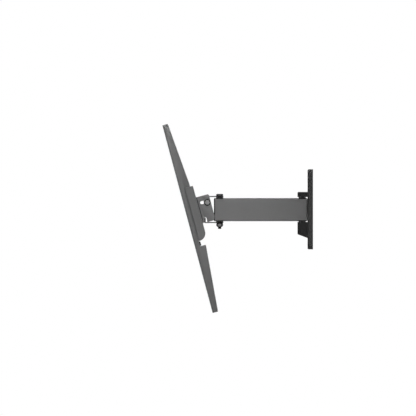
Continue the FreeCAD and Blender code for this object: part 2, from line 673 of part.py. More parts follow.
def long_slot(x_range, z):
    """Cutter for a slot along X through the bar's back plate, with round ends."""
    y_range = (BAR_BACK - BAR_SHEET, BAR_BACK)
    slot = box(x_range, y_range, (z - BAR_SLOT_HALF_HEIGHT, z + BAR_SLOT_HALF_HEIGHT))
    for x in x_range:
        slot = slot.fuse(rod(BAR_SLOT_HALF_HEIGHT, (x, y_range[0], z), (x, y_range[1], z)))
    return slot.removeSplitter()


def crossbar():
    bar = bar_section(bar_x_range(), 0).cut(bar_section(bar_x_range(), BAR_SHEET))
    for side in (-1, 1):
        for z in BAR_SLOT_HEIGHTS:
            bar = bar.cut(long_slot((side * BAR_SLOT_INNER_X, side * BAR_SLOT_OUTER_X), z))
    for x, z in rivet_places():
        bar = bar.cut(rod(RIVET_RADIUS, (x, BAR_BACK - BAR_SHEET, z), (x, BAR_BACK, z)))
    return bar


def hook_strip():
    """Angle welded inside the bar: a shelf and an upright lip that the rails hang on."""
    shelf_z = BAR_TOP - TROUGH_DEPTH
    shelf = box(bar_x_range(), (BAR_FRONT, BAR_BACK - BAR_SHEET), (shelf_z - BAR_SHEET, shelf_z))
    lip = box(bar_x_range(), (BAR_FRONT, BAR_FRONT + BAR_SHEET), (shelf_z, BAR_TOP))
    return shelf.fuse(lip).removeSplitter()


def end_cap(side):
    half = BAR_LENGTH / 2
    cap = bar_section((side * (half - END_CAP_THICKNESS), side * half), 0)
    return round_edges(cap, END_CAP_EDGE, lambda e: lies_at(e, "X", side * half))


# ---- screen rails ----------------------------------------------------------------------

def rail_side_outline():
    """Side view of a rail: tapered flanges, the notch over the bar and the hook behind its lip."""
    notch_front = BAR_FRONT - RAIL_PLAY
    notch_top = BAR_TOP + RAIL_PLAY
    finger_front = BAR_FRONT + BAR_SHEET + RAIL_PLAY
    finger_tip = BAR_TOP - TROUGH_DEPTH + HOOK_TIP_CLEARANCE
    return [
        (RAIL_FRONT, RAIL_BOTTOM), (RAIL_END_BACK, RAIL_BOTTOM),
        (RAIL_PEAK_BACK, RAIL_LOWER_PEAK), (RAIL_PEAK_BACK, NOTCH_LOWER_EDGE),
        (notch_front, NOTCH_LOWER_EDGE), (notch_front, notch_top),
        (finger_front, notch_top), (finger_front, finger_tip),
        (RAIL_PEAK_BACK, finger_tip), (RAIL_PEAK_BACK, RAIL_UPPER_PEAK),
        (RAIL_END_BACK, RAIL_TOP), (RAIL_FRONT, RAIL_TOP),
    ]


def rail_slot(centre_x, centre_z):
    half = RAIL_SLOT_LENGTH / 2 - RAIL_SLOT_HALF_WIDTH
    y_range = (RAIL_FRONT, RAIL_FRONT + RAIL_SHEET)
    slot = box((centre_x - RAIL_SLOT_HALF_WIDTH, centre_x + RAIL_SLOT_HALF_WIDTH), y_range,
               (centre_z - half, centre_z + half))
    for z in (centre_z - half, centre_z + half):
        slot = slot.fuse(rod(RAIL_SLOT_HALF_WIDTH, (centre_x, y_range[0], z), (centre_x, y_range[1], z)))
    return slot.removeSplitter()


def screen_rail(side):
    centre_x = side * RAIL_X
    outer_x = (centre_x - RAIL_HALF_WIDTH, centre_x + RAIL_HALF_WIDTH)
    inner_x = (outer_x[0] + RAIL_SHEET, outer_x[1] - RAIL_SHEET)
    outer = box(outer_x, (RAIL_FRONT, 0), (RAIL_BOTTOM, RAIL_TOP))
    outer = round_edges(outer, RAIL_BEND, lambda e: runs_along(e, "z") and lies_at(e, "Y", RAIL_FRONT))
    inner_front = RAIL_FRONT + RAIL_SHEET
    inner = box(inner_x, (inner_front, 0), (RAIL_BOTTOM, RAIL_TOP))
    inner = round_edges(inner, RAIL_BEND - RAIL_SHEET,
                        lambda e: runs_along(e, "z") and lies_at(e, "Y", inner_front))
    rail = outer.cut(inner).common(side_plate(rail_side_outline(), outer_x))
    for spacing in SCREEN_SPACINGS:
        for end in (-1, 1):
            z = RAIL_CENTRE + end * spacing / 2
            rail = rail.cut(rod(SCREEN_HOLE_RADIUS, (centre_x, RAIL_FRONT, z), (centre_x, inner_front, z)))
    for distance in RAIL_SLOT_CENTRES:
        for end in (-1, 1):
            rail = rail.cut(rail_slot(centre_x, RAIL_CENTRE + end * distance))
    return rail.cut(lock_screw(side)).removeSplitter()


def lock_screw_place(side):
    return side * RAIL_X, (BAR_BOTTOM + NOTCH_LOWER_EDGE) / 2


def lock_screw(side):
    """Countersunk screw along n, its head flush with the back of the lock block."""
    x, z = lock_screw_place(side)
    head_start = LOCK_BLOCK_BACK - LOCK_SCREW_HEAD_DEPTH
    shank = rod(LOCK_SCREW_RADIUS, (x, RAIL_FRONT + LOCK_SCREW_TIP_DEPTH, z), (x, head_start, z))
    head = Part.makeCone(LOCK_SCREW_RADIUS, LOCK_SCREW_HEAD_RADIUS, LOCK_SCREW_HEAD_DEPTH,
                         Vector(x, head_start, z), Vector(0, 1, 0))
    return shank.fuse(head).removeSplitter()


def lock_block(side):
    x, z = lock_screw_place(side)
    half_height = (BAR_BOTTOM - NOTCH_LOWER_EDGE) / 2 - LOCK_BLOCK_GAP
    block = box((x - LOCK_BLOCK_HALF_WIDTH, x + LOCK_BLOCK_HALF_WIDTH),
                (RAIL_FRONT + RAIL_SHEET, LOCK_BLOCK_BACK), (z - half_height, z + half_height))
    block = round_edges(block, LOCK_BLOCK_CORNER, lambda e: runs_along(e, "y"))
    return block.cut(lock_screw(side))


# ---- all nodes -------------------------------------------------------------------------

def build():
    nodes = {
        "wall_plate": wall_plate(),
        "wall_plate_cover": wall_plate_cover(),
        "wall_pivot_bracket": wall_pivot_bracket(),
        "upper_ear_cover": upper_ear_cover(),
        "lower_ear_cover": lower_ear_cover(),
        "arm_tube": arm_tube(),
        "wall_end_sleeve": pivot_sleeve(WALL_PIVOT_Y),
        "head_end_sleeve": pivot_sleeve(HEAD_PIVOT_Y),
        "wall_end_bushings": pivot_bushings(WALL_PIVOT_Y),
        "head_end_bushings": pivot_bushings(HEAD_PIVOT_Y),
        "swivel_bracket": swivel_bracket(),
        "nose_bands": nose_bands(),
        "hinge_pads": hinge_pads(),
        "tilt_yoke": tilted(tilt_yoke()),
        "yoke_rivets": tilted(yoke_rivets()),
        "crossbar": tilted(crossbar()),
        "hook_strip": tilted(hook_strip()),
    }
    names = ("wall_pivot_bolt", "wall_pivot_nut", "wall_pivot_washer")
    nodes.update(zip(names, wall_pivot_fasteners()))
    names = ("head_pivot_bolt", "head_pivot_nut", "head_pivot_washer")
    nodes.update(zip(names, head_pivot_fasteners()))
    names = ("tilt_lock_bolt", "tilt_lock_nut", "tilt_lock_washers", "tilt_friction_washers")
    nodes.update(zip(names, tilt_lock_fasteners()))
    for name, side in (("left", -1), ("right", 1)):
        nodes[name + "_end_cap"] = tilted(end_cap(side))
        nodes[name + "_rail"] = tilted(screen_rail(side))
        nodes[name + "_lock_block"] = tilted(lock_block(side))
        nodes[name + "_lock_screw"] = tilted(lock_screw(side))
    return nodes


def main():
    os.makedirs("parts", exist_ok=True)
    for name, shape in build().items():
        assert shape.isValid(), name
        shape.exportStep("parts/" + name + ".step")
        print(name, len(shape.Solids), round(shape.Volume))


main()
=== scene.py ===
import json
import math

import bmesh
import bpy
from mathutils import Matrix, Vector
from mathutils.bvhtree import BVHTree


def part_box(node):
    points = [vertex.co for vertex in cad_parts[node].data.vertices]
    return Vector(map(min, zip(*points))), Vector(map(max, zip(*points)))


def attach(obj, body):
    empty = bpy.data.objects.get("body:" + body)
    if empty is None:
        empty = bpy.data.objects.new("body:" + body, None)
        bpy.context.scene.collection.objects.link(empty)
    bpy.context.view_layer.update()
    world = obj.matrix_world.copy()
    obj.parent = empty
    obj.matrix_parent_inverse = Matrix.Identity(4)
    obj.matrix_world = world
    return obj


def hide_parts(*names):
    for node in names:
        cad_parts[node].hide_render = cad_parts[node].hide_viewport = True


# Looks of the single-arm full motion television wall mount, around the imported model.
# Metres, +Z up, wall at y = 0, the mount reaches out towards -Y.

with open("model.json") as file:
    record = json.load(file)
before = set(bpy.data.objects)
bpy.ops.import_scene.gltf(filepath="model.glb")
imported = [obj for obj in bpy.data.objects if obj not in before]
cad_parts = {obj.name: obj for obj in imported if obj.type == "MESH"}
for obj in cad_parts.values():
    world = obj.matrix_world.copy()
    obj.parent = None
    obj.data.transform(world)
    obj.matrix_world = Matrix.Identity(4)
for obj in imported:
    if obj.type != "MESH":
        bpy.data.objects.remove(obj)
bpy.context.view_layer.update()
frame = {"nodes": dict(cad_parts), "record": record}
nodes = frame["nodes"]
behaviour = frame["record"]["behaviour"]
body_of_node = {node: body for body, members in behaviour["bodies"].items() for node in members}
slot_of_node = {part["node"]: part["material_slot"] for part in frame["record"]["subparts"]}

MM = 0.001
# vertices closer than this are one vertex
MERGE_DISTANCE = 0.001 * MM
# vertices closer than this to a cutting plane lie on it
CUT_TOLERANCE = 0.0001 * MM

# The tilting frame: its origin lies on the tilt axis, and it leans forward at rest.
tilt_joint = [joint for joint in behaviour["joints"] if joint["name"] == "tilt"][0]
TILT_ORIGIN = Vector(tilt_joint["pos_m"])
TILT = math.radians(-tilt_joint["range_deg"][0])
TOWARDS_WALL = Vector((0, math.cos(TILT), math.sin(TILT)))
UP_THE_RAIL = Vector((0, -math.sin(TILT), math.cos(TILT)))


# ---- materials -------------------------------------------------------------------------

COATING_IOR = 1.45
# noise seldom leaves this range
NOISE_LOW = 0.3
NOISE_HIGH = 0.7
# edge mask: samples, and the dot product of true and rounded normal on an edge and away from it
EDGE_SAMPLES = 4
ON_EDGE = 0.80
OFF_EDGE = 0.99
# painted shade mask: samples, and the ambient occlusion deep in a corner and nearly in the open
PAINTED_SHADE_SAMPLES = 8
DEEP_CORNER = 0.25
NEARLY_OPEN = 0.85


class Surface:
    """A node material under construction, with short calls for the nodes it uses."""

    def __init__(self, name):
        self.material = bpy.data.materials.new(name)
        self.material.use_nodes = True
        self.nodes = self.material.node_tree.nodes
        self.links = self.material.node_tree.links
        self.shader = self.nodes["Principled BSDF"]
        self.position = self.nodes.new("ShaderNodeTexCoord").outputs["Object"]

    def link(self, source, target):
        self.links.new(source, target)

    def noise(self, scale, detail=2.0, roughness=0.5):
        """Noise with about scale features in a metre."""
        node = self.nodes.new("ShaderNodeTexNoise")
        node.inputs["Scale"].default_value = scale
        node.inputs["Detail"].default_value = detail
        node.inputs["Roughness"].default_value = roughness
        self.link(self.position, node.inputs["Vector"])
        return node.outputs["Fac"]

    def cells(self, scale):
        """Distance to the middles of cells, about scale of them in a metre."""
        node = self.nodes.new("ShaderNodeTexVoronoi")
        node.inputs["Scale"].default_value = scale
        self.link(self.position, node.inputs["Vector"])
        return node.outputs["Distance"]

    def spread(self, source, low, high, start=0.0, end=1.0):
        """Maps source from start..end to low..high, clamped."""
        node = self.nodes.new("ShaderNodeMapRange")
        node.inputs["From Min"].default_value = start
        node.inputs["From Max"].default_value = end
        node.inputs["To Min"].default_value = low
        node.inputs["To Max"].default_value = high
        self.link(source, node.inputs["Value"])
        return node.outputs["Result"]

    def spread_noise(self, noise, low, high):
        """Maps the usual range of a noise to low..high."""
        return self.spread(noise, low, high, NOISE_LOW, NOISE_HIGH)

    def product(self, first, second):
        node = self.nodes.new("ShaderNodeMath")
        node.operation = "MULTIPLY"
        self.link(first, node.inputs[0])
        self.link(second, node.inputs[1])
        return node.outputs[0]

    def blend(self, factor, first, second):
        """Mixes two colours, each a tuple or a socket, by factor."""
        node = self.nodes.new("ShaderNodeMix")
        node.data_type = "RGBA"
        self.link(factor, node.inputs["Factor"])
        for source, key in ((first, "A"), (second, "B")):
            socket = [s for s in node.inputs if s.name == key and s.type == "RGBA"][0]
            if isinstance(source, tuple):
                socket.default_value = source
            else:
                self.link(source, socket)
        return [s for s in node.outputs if s.type == "RGBA"][0]

    def edge_mask(self, radius):
        """1 along sharp edges and 0 on open surfaces."""
        rounded = self.nodes.new("ShaderNodeBevel")
        rounded.samples = EDGE_SAMPLES
        rounded.inputs["Radius"].default_value = radius
        geometry = self.nodes.new("ShaderNodeNewGeometry")
        dot = self.nodes.new("ShaderNodeVectorMath")
        dot.operation = "DOT_PRODUCT"
        self.link(rounded.outputs["Normal"], dot.inputs[0])
        self.link(geometry.outputs["Normal"], dot.inputs[1])
        return self.spread(dot.outputs["Value"], 1.0, 0.0, ON_EDGE, OFF_EDGE)

    def painted_shade_mask(self, distance):
        """Painted shade from ambient occlusion: 1 in tight corners and under overhangs, 0 in the open."""
        shade = self.nodes.new("ShaderNodeAmbientOcclusion")
        shade.samples = PAINTED_SHADE_SAMPLES
        shade.inputs["Distance"].default_value = distance
        return self.spread(shade.outputs["AO"], 1.0, 0.0, DEEP_CORNER, NEARLY_OPEN)

    def bump(self, height, distance, strength):
        node = self.nodes.new("ShaderNodeBump")
        node.inputs["Distance"].default_value = distance
        node.inputs["Strength"].default_value = strength
        self.link(height, node.inputs["Height"])
        self.link(node.outputs["Normal"], self.shader.inputs["Normal"])


def grey(value):
    return (value, value, value, 1.0)


def powder_coat(name, tone, wear_tone, roughness):
    """Baked powder paint: fine orange peel, faint mottling, edges rubbed lighter, and painted shade
    darkening the corners.
    """
    surface = Surface(name)
    mottling = surface.spread_noise(surface.noise(scale=9.0, detail=3.0), 0.0, 1.0)
    grain = surface.noise(scale=1400.0, detail=3.0, roughness=0.6)
    speckle = surface.spread(grain, 0.0, 0.3, start=0.45, end=0.7)
    base = surface.blend(mottling, grey(tone * 0.97), grey(tone * 1.03))
    base = surface.blend(speckle, base, grey(tone * 1.6))
    worn_spots = surface.noise(scale=160.0, detail=4.0, roughness=0.7)
    patches = surface.spread(worn_spots, 0.0, 1.0, start=0.52, end=0.68)
    wear = surface.product(surface.edge_mask(0.45 * MM), patches)
    colour = surface.blend(surface.spread(wear, 0.0, 0.55), base, grey(wear_tone))
    # painted shade: ambient occlusion darkens the paint in corners and under overhangs
    shade_in_corners = surface.spread(surface.painted_shade_mask(3.5 * MM), 0.0, 0.65)
    colour = surface.blend(shade_in_corners, colour, grey(tone * 0.2))
    surface.link(colour, surface.shader.inputs["Base Color"])
    sheen = surface.noise(scale=40.0, detail=3.0)
    surface.link(surface.spread_noise(sheen, roughness - 0.05, roughness + 0.06),
                 surface.shader.inputs["Roughness"])
    orange_peel = surface.noise(scale=1100.0, detail=3.0, roughness=0.6)
    surface.bump(orange_peel, distance=0.16 * MM, strength=1.0)
    surface.shader.inputs["IOR"].default_value = COATING_IOR
    return surface.material


def moulded_plastic(name, tone, roughness, grain, depth, reflection=0.5):
    """Injection-moulded plastic with a spark-eroded grain and a painted highlight along its sharp edges; a
    low reflection keeps it deep black.
    """
    surface = Surface(name)
    mottling = surface.spread_noise(surface.noise(scale=14.0, detail=3.0), 0.0, 1.0)
    base = surface.blend(mottling, grey(tone * 0.94), grey(tone * 1.06))
    # painted highlight: every sharp edge is lightened all along
    edges = surface.spread(surface.edge_mask(0.5 * MM), 0.0, 0.35)
    colour = surface.blend(edges, base, grey(tone * 1.8))
    surface.link(colour, surface.shader.inputs["Base Color"])
    sheen = surface.noise(scale=grain * 0.5)
    surface.link(surface.spread_noise(sheen, roughness - 0.05, roughness + 0.05),
                 surface.shader.inputs["Roughness"])
    surface.bump(surface.cells(grain), depth, strength=0.5)
    surface.shader.inputs["IOR"].default_value = COATING_IOR
    surface.shader.inputs["Specular IOR Level"].default_value = reflection
    return surface.material


def black_nickel(name, tone, wear_tone, roughness):
    """Dark plated steel: semi-gloss, with brighter metal where a tool has rubbed."""
    surface = Surface(name)
    cloud = surface.spread_noise(surface.noise(scale=260.0, detail=4.0, roughness=0.6), 0.0, 1.0)
    base = surface.blend(cloud, grey(tone * 0.85), grey(tone * 1.15))
    worn_spots = surface.noise(scale=700.0, detail=3.0)
    patches = surface.spread(worn_spots, 0.0, 1.0, start=0.45, end=0.6)
    wear = surface.product(surface.edge_mask(0.3 * MM), patches)
    colour = surface.blend(surface.spread(wear, 0.0, 0.5), base, grey(wear_tone))
    surface.link(colour, surface.shader.inputs["Base Color"])
    gloss = surface.spread(cloud, roughness - 0.05, roughness + 0.07)
    surface.link(gloss, surface.shader.inputs["Roughness"])
    surface.shader.inputs["Metallic"].default_value = 1.0
    surface.bump(surface.noise(scale=1500.0), distance=0.02 * MM, strength=0.3)
    return surface.material


FINE_GRAIN = 2200.0
FINE_GRAIN_DEPTH = 0.05 * MM
SMOOTH_GRAIN = 900.0
SMOOTH_GRAIN_DEPTH = 0.015 * MM

finish_of_slot = {
    "grey_steel": powder_coat("grey_steel", tone=0.095, wear_tone=0.2, roughness=0.5),
    "black_steel": powder_coat("black_steel", tone=0.022, wear_tone=0.12, roughness=0.45),
    "cover_plastic": moulded_plastic("cover_plastic", tone=0.02, roughness=0.55,
                                     grain=FINE_GRAIN, depth=FINE_GRAIN_DEPTH),
    "black_nylon": moulded_plastic("black_nylon", tone=0.008, roughness=0.4,
                                   grain=SMOOTH_GRAIN, depth=SMOOTH_GRAIN_DEPTH, reflection=0.2),
    "black_fastener": black_nickel("black_fastener", tone=0.03, wear_tone=0.16, roughness=0.2),
}
ear_plastic = moulded_plastic("ear_plastic", tone=0.012, roughness=0.55,
                              grain=FINE_GRAIN, depth=FINE_GRAIN_DEPTH)
# a lighter copy of the grey paint: painted light on the arm and on the yoke, whose cheeks lie in shade
lit_grey_paint = powder_coat("lit_grey_paint", tone=0.122, wear_tone=0.22, roughness=0.5)
nut_nickel = black_nickel("nut_nickel", tone=0.065, wear_tone=0.22, roughness=0.2)
# nodes whose tone differs a little from the rest of their slot
finish_of_node = {
    "arm_tube": lit_grey_paint,
    "tilt_yoke": lit_grey_paint,
    "wall_pivot_nut": nut_nickel,
    "head_pivot_nut": nut_nickel,
    "tilt_lock_nut": nut_nickel,
    "tilt_lock_bolt": black_nickel("rubbed_nickel", tone=0.2, wear_tone=0.45, roughness=0.36),
    "tilt_lock_washers": black_nickel("dark_nickel", tone=0.005, wear_tone=0.05, roughness=0.36),
    "upper_ear_cover": ear_plastic,
    "lower_ear_cover": ear_plastic,
}


def finish_for(node):
    return finish_of_node.get(node, finish_of_slot[slot_of_node[node]])


# ---- showing pieces --------------------------------------------------------------------

# shading breaks at edges that turn more than this
SHARP_DEG = 35.0
# turned bolts and nuts, and the screws, keep flatter corners crisp too
TURNED_DEG = 20.0
SCREW_DEG = 30.0


def new_piece(name, mesh, material, sharp_deg):
    """Puts a mesh in the scene as an object with one material."""
    mesh.materials.clear()
    mesh.materials.append(material)
    mesh.shade_smooth()
    mesh.set_sharp_from_angle(angle=math.radians(sharp_deg))
    piece = bpy.data.objects.new(name, mesh)
    bpy.context.scene.collection.objects.link(piece)
    return piece


def add_piece(name, mesh, node, sharp_deg=SHARP_DEG):
    """Shows mesh in place of a CAD node, on its body and in its finish."""
    piece = new_piece(name, mesh, finish_for(node), sharp_deg)
    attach(piece, body_of_node[node])
    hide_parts(node)


def add_detail(name, mesh, body, slot):
    """Shows a piece that the CAD has no node for, on a body and in a slot's finish."""
    piece = new_piece(name, mesh, finish_of_slot[slot], SHARP_DEG)
    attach(piece, body)


# ---- making meshes ---------------------------------------------------------------------

BEVEL_SEGMENTS = 2
# edges that turn more than this are rounded off
BEVEL_DEG = 40.0
ROUND_STEPS = 64
SMALL_ROUND_STEPS = 48


def mesh_from(name, shape):
    """Turns a bmesh into a mesh with outward normals, and frees it."""
    bmesh.ops.recalc_face_normals(shape, faces=shape.faces)
    mesh = bpy.data.meshes.new(name)
    shape.to_mesh(mesh)
    shape.free()
    return mesh


def node_shape(node):
    """Bmesh of a CAD node, with the vertices that its faces share joined up."""
    shape = bmesh.new()
    shape.from_mesh(nodes[node].data)
    bmesh.ops.remove_doubles(shape, verts=shape.verts, dist=MERGE_DISTANCE)
    return shape


def temporary_object(mesh):
    """Object that holds a mesh while a modifier works."""
    holder = bpy.data.objects.new("holder", mesh)
    bpy.context.scene.collection.objects.link(holder)
    return holder


def modified_mesh(holder):
    """Mesh that an object's modifiers make."""
    graph = bpy.context.evaluated_depsgraph_get()
    return bpy.data.meshes.new_from_object(holder.evaluated_get(graph))


def rounded_off(mesh, width):
    """Mesh with its sharp edges rounded off by width."""
    holder = temporary_object(mesh)
    bevel = holder.modifiers.new("edges", "BEVEL")
    bevel.width = width
    bevel.segments = BEVEL_SEGMENTS
    bevel.limit_method = "ANGLE"
    bevel.angle_limit = math.radians(BEVEL_DEG)
    bevel.use_clamp_overlap = False
    result = modified_mesh(holder)
    bpy.data.objects.remove(holder)
    return result


def recessed(mesh, cutter):
    """Mesh with the cutter taken out of it."""
    holder = temporary_object(mesh)
    tool = temporary_object(cutter)
    cut = holder.modifiers.new("recess", "BOOLEAN")
    cut.operation = "DIFFERENCE"
    cut.solver = "EXACT"
    cut.object = tool
    result = modified_mesh(holder)
    for item in (holder, tool):
        bpy.data.objects.remove(item)
    return result


def ring_of(shape, radii, height, turn=0.0):
    """Closed ring of vertices: one radius per step round the axis, at one height or several."""
    steps = len(radii)
    heights = height if isinstance(height, list) else [height] * steps
    ring = []
    for index in range(steps):
        angle = 2 * math.pi * index / steps + turn
        place = (radii[index] * math.cos(angle), radii[index] * math.sin(angle), heights[index])
        ring.append(shape.verts.new(place))
    return ring


def join_rings(shape, lower, upper):
    """Band of faces between two rings."""
    steps = len(lower)
    for index in range(steps):
        following = (index + 1) % steps
        shape.faces.new((lower[index], lower[following], upper[following], upper[index]))


def skin(shape, rings):
    """Closed solid through a stack of rings, with a face on each end."""
    for lower, upper in zip(rings, rings[1:]):
        join_rings(shape, lower, upper)
    shape.faces.new(list(reversed(rings[0])))
    shape.faces.new(rings[-1])


def lathe(shape, profile):
    """Closed solid of revolution about Z from (radius, height) points; the profile is a loop."""
    rings = [ring_of(shape, [radius] * ROUND_STEPS, height) for radius, height in profile]
    for index, ring in enumerate(rings):
        join_rings(shape, ring, rings[(index + 1) % len(rings)])


def turned_solid(shape, profile):
    """Solid of revolution about Z from (radius, height) points, flat at both ends."""
    skin(shape, [ring_of(shape, [radius] * SMALL_ROUND_STEPS, height) for radius, height in profile])


def place_along(mesh, base, axis):
    """Carries a mesh made about +Z from the origin to base, its Z along axis and its Y kept."""
    along = Vector(axis)
    across = Vector((0, 1, 0)) if abs(along.y) < 0.9 else Vector((1, 0, 0))
    side = across.cross(along).normalized()
    turn = Matrix((side, along.cross(side), along)).transposed().to_4x4()
    mesh.transform(Matrix.Translation(base) @ turn)


def base_and_length(node, axis):
    """Lowest point of a node along axis, on the axis line, and its extent along it."""
    low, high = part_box(node)
    direction = Vector(axis)
    middle = (low + high) / 2
    half = sum(abs(direction[i]) * (high[i] - low[i]) for i in range(3)) / 2
    return middle - direction * half, 2 * half


def solids_of(node):
    """Lists the corner points of each separate solid in a CAD node."""
    shape = node_shape(node)
    solids = []
    for start in shape.verts:
        if start.tag:
            continue
        start.tag = True
        found = [start]
        for vert in found:
            for edge in vert.link_edges:
                other = edge.other_vert(vert)
                if not other.tag:
                    other.tag = True
                    found.append(other)
        solids.append([vert.co.copy() for vert in found])
    shape.free()
    return solids


def span_along(points, axis):
    """Centre point at the low end of a solid along axis, and its length along it."""
    direction = Vector(axis).normalized()
    reaches = [point.dot(direction) for point in points]
    low = Vector([min(point[i] for point in points) for i in range(3)])
    high = Vector([max(point[i] for point in points) for i in range(3)])
    middle = (low + high) / 2
    return middle + direction * (min(reaches) - middle.dot(direction)), max(reaches) - min(reaches)


# ---- bolts, nuts and washers -----------------------------------------------------------

# the two bolts with their nuts and washers: shank, collar, washer and bore are radii, head and
# nut are heights, and flats is the width across a hexagon
M8 = {"shank": 4.0 * MM, "pitch": 1.25 * MM, "flats": 13.0 * MM, "head": 4.4 * MM,
      "nut": 5.4 * MM, "collar": 5.9 * MM, "washer": 7.5 * MM, "bore": 4.25 * MM}
M6 = {"shank": 3.0 * MM, "pitch": 1.0 * MM, "flats": 10.0 * MM, "head": 4.0 * MM,
      "nut": 4.6 * MM, "collar": 4.4 * MM, "washer": 7.0 * MM, "bore": 3.2 * MM}
THREAD_LENGTH = 18.0 * MM
WASHER_THICKNESS = 1.4 * MM
WASHER_EDGE = 0.35 * MM
# inset of the middle point of a washer's rounded rim, as a share of the rounding
WASHER_RIM_SHARE = 0.3

HEX_STEPS = 96
# turns a hexagon so that two of its corners lie on the Y axis
HEX_TURN = math.pi / 6
CHAMFER_SLOPE = math.tan(math.radians(28))
CHAMFER_START = 0.95
# a thin ring let into the underside of a bolt's head, round the shank
HEAD_RING_HEIGHT = 0.2 * MM
HEAD_RING_SHARE = 0.98

# the nylon collar: its depth in the nut, its bore as a share of the shank, and its crown as
# (share of the collar's radius, depth below its end)
COLLAR_SEAT = 0.3 * MM
COLLAR_BORE_SHARE = 0.98
COLLAR_CROWN = ((1.0, 0.9 * MM), (0.96, 0.35 * MM), (0.86, 0.0), (0.78, 0.1 * MM), (0.76, 0.5 * MM))

# rows in one turn of thread, and steps round it
THREAD_ROWS = 8
THREAD_STEPS = 36
# in pitches: the thread's depth, the chamfer at the tip, and how far it takes to start and to end
THREAD_DEPTH = 0.55
TIP_CHAMFER = 0.1
LEAD_IN = 1.2
RUN_OUT = 1.5
# shares of the shank's radius: the flat tip, and the crest where the thread starts
TIP_SHARE = 0.72
START_SHARE = 0.80
# the groove's flanks, cut off to leave a flat crest and a flat root
FLANK_SLOPE = 1.25
FLANK_OFFSET = 0.1


def washer_profile(outer, inner, bottom, top, edge):
    """Stamped washer: rounded on its outer rim, a small break on the bore."""
    rim = edge * WASHER_RIM_SHARE
    return [(inner, bottom + edge / 2), (inner + edge / 2, bottom), (outer - edge, bottom),
            (outer - rim, bottom + rim), (outer, bottom + edge),
            (outer, top - edge), (outer - rim, top - rim), (outer - edge, top),
            (inner + edge / 2, top), (inner, top - edge / 2)]


def hex_radii(flats):
    """Distance from the axis to a hexagon's side for each step round it."""
    radii = []
    for index in range(HEX_STEPS):
        angle = (360.0 * index / HEX_STEPS) % 60.0 - 30.0
        radii.append(flats / 2 / math.cos(math.radians(angle)))
    return radii


def hex_block(shape, flats, bottom, top, bore=0.0):
    """Hexagon with turned corners at the top; with a bore it is a nut, turned at both ends."""
    radii = hex_radii(flats)
    turned = flats / 2 * CHAMFER_START
    drops = [(radius - turned) * CHAMFER_SLOPE for radius in radii]
    rings = []
    if bore:
        rings.append(ring_of(shape, [turned] * HEX_STEPS, bottom, HEX_TURN))
        rings.append(ring_of(shape, radii, [bottom + drop for drop in drops], HEX_TURN))
    else:
        rings.append(ring_of(shape, radii, bottom, HEX_TURN))
    rings.append(ring_of(shape, radii, [top - drop for drop in drops], HEX_TURN))
    rings.append(ring_of(shape, [turned] * HEX_STEPS, top, HEX_TURN))
    if not bore:
        skin(shape, rings)
        return
    rings.append(ring_of(shape, [bore] * HEX_STEPS, top, HEX_TURN))
    rings.append(ring_of(shape, [bore] * HEX_STEPS, bottom, HEX_TURN))
    for index, ring in enumerate(rings):
        join_rings(shape, ring, rings[(index + 1) % len(rings)])


def threaded_rod(shape, radius, pitch, thread_end, shank_end):
    """Shank up from z = 0: chamfered end, helical thread to thread_end, then plain."""
    rows = int(thread_end / pitch * THREAD_ROWS)
    rings = [ring_of(shape, [radius * TIP_SHARE] * THREAD_STEPS, 0.0)]
    for row in range(rows + 1):
        rise = row * pitch / THREAD_ROWS
        start = min(1.0, rise / (LEAD_IN * pitch))
        fade = min(1.0, (rows - row) / (RUN_OUT * THREAD_ROWS))
        crest = radius * (START_SHARE + (1 - START_SHARE) * start)
        radii = []
        for step in range(THREAD_STEPS):
            phase = (row / THREAD_ROWS - step / THREAD_STEPS) % 1.0
            groove = max(0.0, min(1.0, FLANK_SLOPE * abs(2 * phase - 1) - FLANK_OFFSET))
            radii.append(crest - THREAD_DEPTH * pitch * groove * fade * start)
        rings.append(ring_of(shape, radii, TIP_CHAMFER * pitch + rise))
    rings.append(ring_of(shape, [radius] * THREAD_STEPS, shank_end))
    skin(shape, rings)


def hex_bolt(node, size, axis):
    """Bolt with its head at the axis end."""
    base, length = base_and_length(node, axis)
    shape = bmesh.new()
    seat = length - size["head"]
    threaded_rod(shape, size["shank"], size["pitch"], THREAD_LENGTH, seat)
    hex_block(shape, size["flats"], seat, length)
    rim = size["flats"] / 2 * HEAD_RING_SHARE
    lathe(shape, [(size["shank"], seat + HEAD_RING_HEIGHT), (rim, seat + HEAD_RING_HEIGHT),
                  (rim, seat), (size["shank"], seat)])
    mesh = mesh_from(node + "_threaded", shape)
    place_along(mesh, base, axis)
    add_piece(node + "_threaded", mesh, node, TURNED_DEG)


def lock_nut(node, size, axis):
    """Nut whose round nylon collar is at the axis end."""
    base, length = base_and_length(node, axis)
    shape = bmesh.new()
    hex_block(shape, size["flats"], 0.0, size["nut"], size["shank"])
    seat = size["nut"] - COLLAR_SEAT
    bore = size["shank"] * COLLAR_BORE_SHARE
    crown = [(size["collar"] * share, length - depth) for share, depth in COLLAR_CROWN]
    lathe(shape, [(size["collar"], seat)] + crown + [(bore, crown[-1][1]), (bore, seat)])
    mesh = mesh_from(node + "_collared", shape)
    place_along(mesh, base, axis)
    add_piece(node + "_collared", mesh, node, TURNED_DEG)


def flat_washers(node, size, axis, count):
    """One or two washers in a node, at its two ends along axis."""
    base, length = base_and_length(node, axis)
    shape = bmesh.new()
    for bottom in [0.0, length - WASHER_THICKNESS][:count]:
        top = bottom + WASHER_THICKNESS
        lathe(shape, washer_profile(size["washer"], size["bore"], bottom, top, WASHER_EDGE))
    mesh = mesh_from(node + "_stamped", shape)
    place_along(mesh, base, axis)
    add_piece(node + "_stamped", mesh, node)


